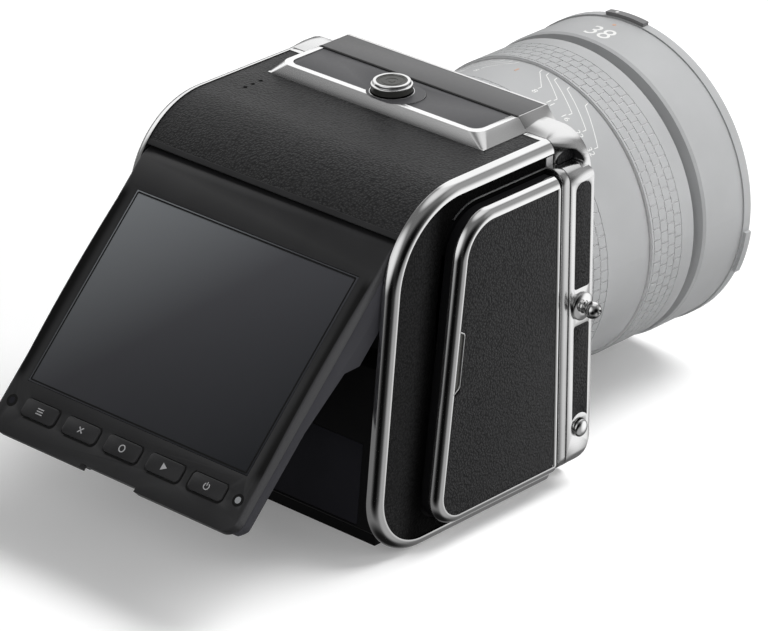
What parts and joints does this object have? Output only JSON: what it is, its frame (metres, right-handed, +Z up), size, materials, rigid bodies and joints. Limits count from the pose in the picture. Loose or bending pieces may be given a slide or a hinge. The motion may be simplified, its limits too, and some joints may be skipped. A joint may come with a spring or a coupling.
{
  "type": "medium format digital camera",
  "caption": "Boxy medium format camera: a digital back with tilting screen and side doors, on a thin body with a bayonet lens.",
  "frame": {"origin": "mouth of the tripod socket, at the base of the front body", "axes": "+Y towards the lens, +X to the right seen from behind the screen, +Z up"},
  "size_m": [0.105, 0.1766, 0.0923],
  "materials": {
    "black_cast": "matte black",
    "leatherette": "fine pebble grain",
    "bright_trim": "satin bright",
    "slate_plate": "satin grey",
    "knob_metal": "dark with bright edges",
    "steel": "plain",
    "screen_plastic": "matte",
    "screen_glass": "dark gloss",
    "board": "circuit board",
    "lamp": "translucent",
    "cell": "plain",
    "sensor": "coated",
    "lens_metal": "pale satin",
    "optic": "coated"
  },
  "bodies": {
    "camera": {"back_housing": "black_cast", "top_covering": "leatherette", "right_side_covering": "leatherette", "left_side_covering": "leatherette", "right_side_trim": "bright_trim", "left_side_trim": "bright_trim", "dock_strips": "bright_trim", "top_plate_frame": "bright_trim", "top_plate_insert": "slate_plate", "bay_panel": "screen_plastic", "hinge_pins": "steel", "image_sensor": "sensor", "sensor_filter": "sensor", "main_board": "board", "battery": "cell", "card_slot": "cell", "usb_port": "steel", "front_body_frame": "bright_trim", "front_body_core": "black_cast", "top_strip": "slate_plate", "right_body_covering": "leatherette", "left_body_covering": "leatherette", "strap_lugs": "bright_trim", "rail_caps": "bright_trim", "front_covering": "leatherette", "lens_mount_ring": "steel", "base_plate": "black_cast"},
    "right_door": {"right_door_shell": "black_cast", "right_door_trim": "bright_trim", "right_door_covering": "leatherette"},
    "left_door": {"left_door_shell": "black_cast", "left_door_trim": "bright_trim", "left_door_covering": "leatherette"},
    "knob": {"release_knob": "knob_metal", "release_knob_cap": "slate_plate"},
    "screen": {"screen_bezel": "screen_plastic", "screen_rear_shell": "screen_plastic", "screen_glass": "screen_glass", "display_panel": "screen_glass", "button_board": "board", "status_light": "lamp", "light_sensor": "lamp"},
    "menu_key": {"menu_button": "screen_plastic"},
    "cancel_key": {"cancel_button": "screen_plastic"},
    "select_key": {"select_button": "screen_plastic"},
    "play_key": {"play_button": "screen_plastic"},
    "power_key": {"power_button": "screen_plastic"},
    "shutter": {"shutter_button": "bright_trim"},
    "dial": {"control_dial": "knob_metal"},
    "lens_release": {"lens_release_button": "bright_trim"},
    "lens": {"lens_barrel": "lens_metal", "scale_sleeve": "lens_metal", "front_barrel": "lens_metal", "front_rim": "lens_metal", "front_element": "optic", "rear_element": "optic", "shutter_unit": "cell"},
    "control": {"control_ring": "lens_metal"},
    "focus_slider": {"focus_sleeve": "lens_metal"},
    "focus": {"focus_ring": "lens_metal"}
  },
  "joints": [
    {"name": "screen_tilt", "type": "hinge", "parent": "camera", "child": "screen", "pos_m": [0, -0.0524, 0.0716], "axis": [-1, 0, 0], "range_deg": [-39, 51]},
    {"name": "right_door_hinge", "type": "hinge", "parent": "camera", "child": "right_door", "pos_m": [0.0462, -0.0087, 0.043], "axis": [0, 0, 1], "range_deg": [0, 95]},
    {"name": "left_door_hinge", "type": "hinge", "parent": "camera", "child": "left_door", "pos_m": [-0.0462, -0.0087, 0.043], "axis": [0, 0, -1], "range_deg": [0, 95]},
    {"name": "release_knob_slide", "type": "slide", "parent": "camera", "child": "knob", "axis": [1, 0, 0], "range_m": [0, 0.0025], "stiffness_N_per_m": 300, "springref_m": -0.002},
    {"name": "menu_press", "type": "slide", "parent": "screen", "child": "menu_key", "axis": [0, 0.7071, -0.7071], "range_m": [0, 0.0005], "stiffness_N_per_m": 500, "springref_m": -0.0008},
    {"name": "cancel_press", "type": "slide", "parent": "screen", "child": "cancel_key", "axis": [0, 0.7071, -0.7071], "range_m": [0, 0.0005], "stiffness_N_per_m": 500, "springref_m": -0.0008},
    {"name": "select_press", "type": "slide", "parent": "screen", "child": "select_key", "axis": [0, 0.7071, -0.7071], "range_m": [0, 0.0005], "stiffness_N_per_m": 500, "springref_m": -0.0008},
    {"name": "play_press", "type": "slide", "parent": "screen", "child": "play_key", "axis": [0, 0.7071, -0.7071], "range_m": [0, 0.0005], "stiffness_N_per_m": 500, "springref_m": -0.0008},
    {"name": "power_press", "type": "slide", "parent": "screen", "child": "power_key", "axis": [0, 0.7071, -0.7071], "range_m": [0, 0.0005], "stiffness_N_per_m": 500, "springref_m": -0.0008},
    {"name": "shutter_press", "type": "slide", "parent": "camera", "child": "shutter", "axis": [0, -1, 0], "range_m": [0, 0.0006], "stiffness_N_per_m": 500, "springref_m": -0.001},
    {"name": "control_dial_turn", "type": "hinge", "parent": "camera", "child": "dial", "pos_m": [0.034, 0.003, 0.0126], "axis": [0, 1, 0], "continuous": true},
    {"name": "lens_release_press", "type": "slide", "parent": "camera", "child": "lens_release", "axis": [0, -1, 0], "range_m": [0, 0.0015], "stiffness_N_per_m": 400, "springref_m": -0.001},
    {"name": "lens_twist", "type": "hinge", "parent": "camera", "child": "lens", "pos_m": [0, 0.03, 0.0442], "axis": [0, 1, 0], "range_deg": [0, 60]},
    {"name": "control_ring_turn", "type": "hinge", "parent": "lens", "child": "control", "pos_m": [0, 0.013, 0.0442], "axis": [0, 1, 0], "continuous": true},
    {"name": "focus_clutch", "type": "slide", "parent": "lens", "child": "focus_slider", "axis": [0, 1, 0], "range_m": [0, 0.003]},
    {"name": "focus_turn", "type": "hinge", "parent": "focus_slider", "child": "focus", "pos_m": [0, 0.043, 0.0442], "axis": [0, 1, 0], "continuous": true}
  ]
}
